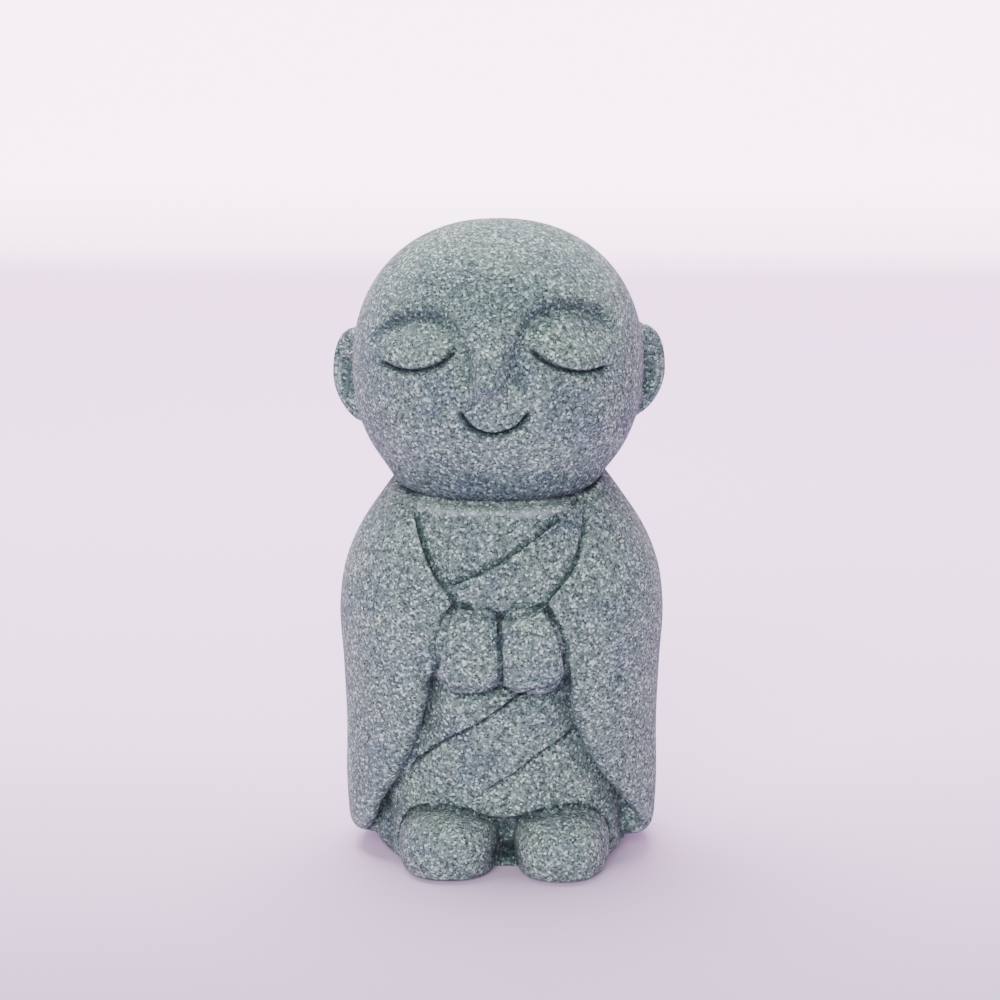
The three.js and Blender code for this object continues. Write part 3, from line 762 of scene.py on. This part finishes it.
slope = slope_of(fine)
outward = slope / np.linalg.norm(slope, axis=1)[:, None]
front = (fine[:, 1] < -2) & (outward[:, 1] < 0.1)
depth = np.zeros(len(fine))
face = front & (fine[:, 2] > FACE_FROM)
face_lines = {name: CARVED[name] for name in ("left_eye", "right_eye", "smile")}
depth[face] = carving(fine[face, 0], fine[face, 2], face_lines, taper=0.08)
on_neck = (fine[:, 2] > NECK_FROM) & (head_distance(*fine.T) < SKIN_REACH)
body = front & (fine[:, 2] < BODY_UP_TO) & ~on_neck
lines = {"parting": CARVED["parting"], **EDGES, **FOLDS}
depth[body] = carving(fine[body, 0], fine[body, 2], lines, taper=0.1)
carved = fine - outward * depth[:, None]
print("the deepest line is", round(float(depth.max()), 2), "mm deep")

# %% [markdown]
# ## Small faults of the cast
#
# A real cast has pinholes where a bubble sat in the mould. This one shows a few small ones,
# on the sleeve, the chest and a foot. Each is a tiny round dent, and shade is painted darker inside it.
# Wider dents of the same kind sink the corners under the hands and between the feet, with painted shade in
# them too.

# %% Press in the pinholes and set the figure on its frame
PINHOLES = [((11.1, 24.4), 0.28, 0.35), ((12.3, 20.2), 0.32, 0.4), ((-4.2, 2.0), 0.28, 0.3),
            ((0.1, 30.5), 0.4, 0.2)]
CORNERS = [((-6.6, 20.0), 1.0, 0.2), ((7.3, 20.0), 0.9, 0.2), ((0.8, 1.8), 1.2, 0.5),
           ((0.8, 4.2), 0.8, 0.25)]
# painted shade: a dent's depth is kept with the carved depth, which darkens the colour inside it
DENT_SHADE = 1.5
for (pin_x, pin_z), radius, deep in PINHOLES + CORNERS:
    near = np.hypot(carved[:, 0] - pin_x, carved[:, 2] - pin_z)
    dent = np.where(front, deep * np.exp(-((near / radius) ** 2)), 0)
    carved -= outward * dent[:, None]
    depth = np.maximum(depth, dent * DENT_SHADE)
place_points(net, (carved + SET_OFF) / MM)
for part in net.polygons:
    part.use_smooth = True
print("the carved skin has", sum(len(p.vertices) - 2 for p in net.polygons), "triangles")

# %% [markdown]
# ## Painted shade in the hollows
#
# Shade at the bottom of each line and where two forms stand close is painted into the stone's colour.
# We keep how deep each point was carved as a value on the mesh, together with how close two forms meet
# there, so that the finish can paint shade on exactly those places from every side. The same value paints
# shade in the brow sockets, under the chin and in the ears, makes the upper forehead a little darker, and
# keeps shade off the collar.

# %% Painted shade from the depth of the lines and from forms that stand close
LINE_SHADE = 1.1 / 0.7
SHADE_REACHES = ((0.4, 0.3), (1.5, 0.22), (4.5, 0.1))
# painted shade: the carved depth and the closeness of nearby forms darken the stone's colour
painted_shade = LINE_SHADE * depth
for away, share in SHADE_REACHES:
    closed = np.clip(0.92 - cast(fine + outward * away) / away, 0, 1)
    painted_shade += share * (1 - np.exp(-closed / 0.4))
print("the lines and corners shade", round(float((painted_shade > 0.3).mean()) * 100, 1), "percent of the points")

# %% Painted shade at the brows, the chin and the ears, a darker forehead, and less shade on the collar
# painted shade: in the brow sockets and along the brow lines, under the chin and in its crease, and in the
# ears' hollows
FOREHEAD_DARKENING = 0.42
CHIN_SHADE = 0.48
CREASE_SHADE = 0.4
SOCKET_SHADE = 0.26
BROW_SHADE = 0.15
DISH_SHADE = 0.4
px, py, pz = fine.T
for mirror, brow in zip((1, -1), BROWS):
    near, inside, fade = brow_socket(brow, mirror, px[face], pz[face], end=0.95)
    sunk = ramp(inside, -0.4, 0.6) * np.exp(-np.clip(inside - 0.6, 0, None) / 1.3)
    painted_shade[face] += fade * (SOCKET_SHADE * sunk + BROW_SHADE * np.exp(-((near / 0.4) ** 2)))
on_head = front & (np.abs(head_distance(px, py, pz)) < SKIN_REACH)
painted_shade += CHIN_SHADE * on_head * ramp(pz, CHIN_FROM + 2, CHIN_FULL)
under_chin = np.minimum(robe_distance(px, py, pz), mantle_distance(px, py, pz))
painted_shade += CREASE_SHADE * on_head * np.exp(-np.abs(under_chin) / 0.6)
for side, middle, tall in EARS:
    ear, dish = ear_distance(px, py, pz, side, middle, tall)
    on_ear = (np.abs(ear) < SKIN_REACH) & (px * side > 13.5)
    painted_shade = np.where(on_ear, 0.1 * painted_shade + DISH_SHADE * np.abs(dish), painted_shade)
# the upper forehead is made a little darker
painted_shade += FOREHEAD_DARKENING * face * hill(px, pz, (-1.5, 58.8), (8.5, 2.8), power=4)
# painted shade is taken off the collar roll, so it stays lighter
painted_shade *= 1 - 0.9 * np.exp(-((collar_distance(px, py, pz) / 0.35) ** 2))
painted_shade = np.clip(painted_shade, 0, 1)
shade = net.attributes.new("painted_shade", "FLOAT", "POINT")
shade.data.foreach_set("value", painted_shade)
print("with these it is", round(float((painted_shade > 0.3).mean()) * 100, 1), "percent of the points")

# %% [markdown]
# ## Painted highlights on the edges
#
# Raised edges catch the light, and that highlight is painted on here as a lighter colour. A flat place has
# as much stone under it as we look in, and an edge has less, because its other side is near. So we look a
# little way
# in from each point: where the distance there is small, the point lies on an edge. This is kept as a second
# value.

# %% Keep the painted edge highlight as a value on the mesh
LOOK_IN = 0.6
# painted highlight: points on raised edges are given a lighter colour
painted_edge_highlight = ramp(1 + cast(fine - outward * LOOK_IN) / LOOK_IN, 0.2, 0.9)
edge_highlight_values = net.attributes.new("painted_edge_highlight", "FLOAT", "POINT")
edge_highlight_values.data.foreach_set("value", np.clip(painted_edge_highlight - painted_shade, 0, 1))
print("edges are", round(float((painted_edge_highlight > 0.3).mean()) * 100, 1), "percent of the points")

# %% [markdown]
# ## The grain of the stone
#
# Close up, the cast is a crowd of sand grains: white, mid grey and dark green-grey, about a fifth
# of a millimetre across, set in blue-grey resin. A Voronoi texture gives every grain a cell and
# one random value, and colour ramps turn that value into the kinds of grain. A finer Voronoi lies
# over it as dust. Wide, soft noise drifts the whole from blue to green, and the same grains push
# a bump, because the stone feels rough.

# %% Helpers for the finish
def colour(*srgb):
    shares = [c / 255 for c in srgb]
    linear = [v / 12.92 if v <= 0.04045 else ((v + 0.055) / 1.055) ** 2.4 for v in shares]
    return (*linear, 1.0)


def add(tree, kind, **settings):
    node = tree.nodes.new(kind)
    for name, value in settings.items():
        if hasattr(node, name):
            setattr(node, name, value)
        else:
            node.inputs[name.replace("_", " ")].default_value = value
    return node


def ramp_of(tree, stops, source, mode="LINEAR"):
    node = tree.nodes.new("ShaderNodeValToRGB")
    node.color_ramp.interpolation = mode
    band = node.color_ramp.elements
    while len(band) < len(stops):
        band.new(0.5)
    for element, (place, tone) in zip(band, stops):
        element.position = place
        element.color = tone
    tree.links.new(source, node.inputs["Fac"])
    return node.outputs["Color"]


def blend(tree, how, share, first, second):
    node = tree.nodes.new("ShaderNodeMix")
    node.data_type = "RGBA"
    node.blend_type = how
    for socket, value in ((node.inputs[0], share), (node.inputs[6], first), (node.inputs[7], second)):
        if isinstance(value, bpy.types.NodeSocket):
            tree.links.new(value, socket)
        else:
            socket.default_value = value
    return node.outputs[2]


print("a middle grey of 128 is", round(colour(128, 128, 128)[0], 2), "in linear light")

# %% The sandstone's own sockets
stone = bpy.data.materials.new("grey_green_sandstone")
stone.use_nodes = True
tree = stone.node_tree
shader = tree.nodes["Principled BSDF"]
shader.inputs["Roughness"].default_value = 0.92
shader.inputs["Specular IOR Level"].default_value = 0.22
shader.inputs["Sheen Weight"].default_value = 0.08
shader.inputs["Sheen Roughness"].default_value = 0.6
shader.inputs["Sheen Tint"].default_value = colour(235, 225, 235)
where = add(tree, "ShaderNodeTexCoord").outputs["Object"]
print("the stone's roughness is", round(shader.inputs["Roughness"].default_value, 2))

# %% The grains, and finer dust between them
GRAIN = 4700.0
FINER = 2.1
DUST_SHARE = 0.26
grains = add(tree, "ShaderNodeTexVoronoi", Scale=GRAIN, Randomness=1.0)
tree.links.new(where, grains.inputs["Vector"])
each = add(tree, "ShaderNodeSeparateColor")
tree.links.new(grains.outputs["Color"], each.inputs["Color"])
tones = [(0.0, colour(8, 22, 20)), (0.16, colour(50, 66, 63)), (0.42, colour(97, 112, 109)),
         (0.76, colour(130, 144, 140)), (0.9, colour(190, 201, 195)), (1.0, colour(252, 255, 250))]
sand = ramp_of(tree, tones, each.outputs["Red"])

dust = add(tree, "ShaderNodeTexVoronoi", Scale=GRAIN * FINER, Randomness=1.0)
tree.links.new(where, dust.inputs["Vector"])
fines = add(tree, "ShaderNodeSeparateColor")
tree.links.new(dust.outputs["Color"], fines.inputs["Color"])
fine_tones = [(0.0, colour(52, 66, 70)), (0.5, colour(110, 123, 127)), (1.0, colour(204, 212, 211))]
sand = blend(tree, "MIX", DUST_SHARE, sand, ramp_of(tree, fine_tones, fines.outputs["Green"]))
print("one grain is about", round(MM / GRAIN, 2), "mm across")

# %% The drift from blue to green, the painted shade in the hollows and the painted highlight on the edges
DRIFT_SHARE = 0.85
drift = add(tree, "ShaderNodeTexNoise", Scale=210.0, Detail=3.0, Roughness=0.6)
tree.links.new(where, drift.inputs["Vector"])
casts_of_colour = [(0.34, colour(203, 218, 231)), (0.5, colour(228, 240, 239)),
                   (0.66, colour(241, 254, 246))]
sand = blend(tree, "MULTIPLY", DRIFT_SHARE, sand, ramp_of(tree, casts_of_colour, drift.outputs["Fac"]))

# painted shade: the shade value darkens the colour in the lines, corners, sockets, ears and under the chin
shade_node = add(tree, "ShaderNodeAttribute", attribute_name="painted_shade")
painted_shade_tone = ramp_of(tree, [(0.0, (1, 1, 1, 1)), (0.5, colour(190, 200, 206)), (1.0, colour(84, 98, 107))],
                    shade_node.outputs["Fac"])
sand = blend(tree, "MULTIPLY", 1.0, sand, painted_shade_tone)
# painted highlight: the edge value adds a lighter colour on raised edges
edges = add(tree, "ShaderNodeAttribute", attribute_name="painted_edge_highlight")
sand = blend(tree, "ADD", edges.outputs["Fac"], sand, colour(104, 110, 112))
tree.links.new(sand, shader.inputs["Base Color"])
print("the stone's colour takes", len(tree.nodes), "nodes")

# %% The roughness to the touch
bump = add(tree, "ShaderNodeBump", Strength=0.7, Distance=0.0002)
tree.links.new(grains.outputs["Distance"], bump.inputs["Height"])
tree.links.new(bump.outputs["Normal"], shader.inputs["Normal"])
net.materials.clear()
net.materials.append(stone)
print("the grains stand out by up to", round(bump.inputs["Distance"].default_value * MM, 2), "mm")

# %% The carved skin stands for the plain solid
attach(skin, "root")
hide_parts("monk_figure")
print("the skin measures", [round(float(v) * MM, 1) for v in np.ptp(points_of(net), axis=0)], "mm")

# %% [markdown]
# ## A pale studio
#
# The photograph was taken on a pale lilac sweep: a floor that bends up into a wall with no corner.
# One curved sheet makes it. The light is very soft and comes from above and from the front, so the
# shadow at the feet is faint. A real studio lights the far part of the sweep with lamps of its own.
# Here the paper glows by itself instead: more towards the back of the floor, and most low on the bend.
# Towards the front, the paper's colour is painted darker as shade.

# %% The sweep
def sweep_sheet(half_width, near, far, high, bend):
    outline = [(near, 0.0), (far - bend, 0.0)]
    for turn in np.linspace(0.1, 1.57, 14):
        outline.append((far - bend + bend * math.sin(turn), bend - bend * math.cos(turn)))
    outline.append((far, high))
    mesh = bpy.data.meshes.new("sweep")
    corners = [(side * half_width, y, z) for y, z in outline for side in (-1, 1)]
    strips = [(2 * i, 2 * i + 1, 2 * i + 3, 2 * i + 2) for i in range(len(outline) - 1)]
    mesh.from_pydata(corners, [], strips)
    for part in mesh.polygons:
        part.use_smooth = True
    sheet = bpy.data.objects.new("sweep", mesh)
    bpy.context.scene.collection.objects.link(sheet)
    return sheet


sweep = sweep_sheet(half_width=1.2, near=-0.7, far=0.62, high=1.0, bend=0.2)
print("the sweep is", round(sweep.dimensions.x, 2), "m wide")

# %% The pale lilac paper
paper = bpy.data.materials.new("pale_lilac_paper")
paper.use_nodes = True
paper_shader = paper.node_tree.nodes["Principled BSDF"]
paper_shader.inputs["Roughness"].default_value = 0.8
paper_tree = paper.node_tree
spot = add(paper_tree, "ShaderNodeTexCoord").outputs["Object"]
place = add(paper_tree, "ShaderNodeSeparateXYZ")
paper_tree.links.new(spot, place.inputs[0])
back = add(paper_tree, "ShaderNodeMapRange", From_Min=-0.09, From_Max=0.45, To_Min=0.0, To_Max=1.0)
paper_tree.links.new(place.outputs["Y"], back.inputs["Value"])
# painted shade: the paper is darker towards the front of the floor
lilacs_with_front_shade = [(0.0, colour(160, 146, 182)), (0.24, colour(246, 216, 252)), (1.0, colour(248, 216, 252))]
tone = ramp_of(paper_tree, lilacs_with_front_shade, back.outputs["Result"])
paper_tree.links.new(tone, paper_shader.inputs["Base Color"])
print("the paper is", len(lilacs_with_front_shade), "lilacs from front to back")

# %% The glow of the far floor and the wall
PAPER_GLOW = 4.0
glow = add(paper_tree, "ShaderNodeMapRange", From_Min=0.0, From_Max=0.1, To_Min=0.0, To_Max=1.0)
paper_tree.links.new(place.outputs["Z"], glow.inputs["Value"])
wall_tones = [(0.0, colour(0, 0, 0)), (0.03, colour(60, 48, 62)), (0.08, colour(200, 184, 180)),
              (0.2, colour(250, 232, 226)), (0.65, colour(250, 232, 226)), (1.0, colour(0, 0, 0))]
wall_glow = ramp_of(paper_tree, wall_tones, glow.outputs["Result"])
floor_tones = [(0.2, colour(20, 16, 20)), (0.5, colour(124, 98, 128)), (1.0, colour(150, 122, 154))]
floor_glow = ramp_of(paper_tree, floor_tones, back.outputs["Result"])
lit = blend(paper_tree, "ADD", 1.0, wall_glow, floor_glow)
paper_tree.links.new(lit, paper_shader.inputs["Emission Color"])
paper_shader.inputs["Emission Strength"].default_value = PAPER_GLOW
sweep.data.materials.append(paper)
print("the paper glows with a strength of", PAPER_GLOW)

# %% [markdown]
# ## Light and camera
#
# A soft panel overhead lights the crown and the shoulders, a wide one in front and a little to
# the left lights the face and the sleeves evenly, and a pale sky fills every shadow. The camera
# stands a third of a metre away, a little above and a little to the right, with a long lens.

# %% Lights
def panel(name, place, aim, size, power, tone):
    lamp = bpy.data.lights.new(name, "AREA")
    lamp.shape = "DISK"
    lamp.size = size
    lamp.energy = power
    lamp.color = tone
    holder = bpy.data.objects.new(name, lamp)
    holder.location = place
    holder.rotation_euler = (Vector(aim) - Vector(place)).to_track_quat("-Z", "Y").to_euler()
    bpy.context.scene.collection.objects.link(holder)
    return holder


panel("overhead", (-0.05, 0.1, 0.5), aim=(0, 0, 0.03), size=0.4, power=6.2, tone=(1.0, 0.99, 0.96))
panel("front", (-0.09, -0.78, 0.34), aim=(0, 0, 0.035), size=0.5, power=9.4, tone=(1.0, 1.0, 0.97))
world = bpy.data.worlds.new("pale_room")
bpy.context.scene.world = world
world.use_nodes = True
sky = world.node_tree.nodes["Background"]
sky.inputs["Color"].default_value = colour(238, 234, 240)
sky.inputs["Strength"].default_value = 0.38

# %% Camera
DISTANCE = 0.330
HEIGHT = 0.100
TURN = math.radians(2.5)
AIM = 0.03628
ASIDE = 0.00018
LENS = 118.58
camera = bpy.data.objects.new("camera", bpy.data.cameras.new("camera"))
camera.data.sensor_width = 36.0
camera.data.lens = LENS
camera.data.clip_start = 0.01
camera.location = (ASIDE + DISTANCE * math.sin(TURN), -DISTANCE * math.cos(TURN), HEIGHT)
look = Vector((ASIDE, 0, AIM)) - camera.location
camera.rotation_euler = look.to_track_quat("-Z", "Y").to_euler()
bpy.context.scene.collection.objects.link(camera)
bpy.context.scene.camera = camera
print("the camera looks down by", round(math.degrees(math.asin(-look.z / look.length)), 1), "degrees")
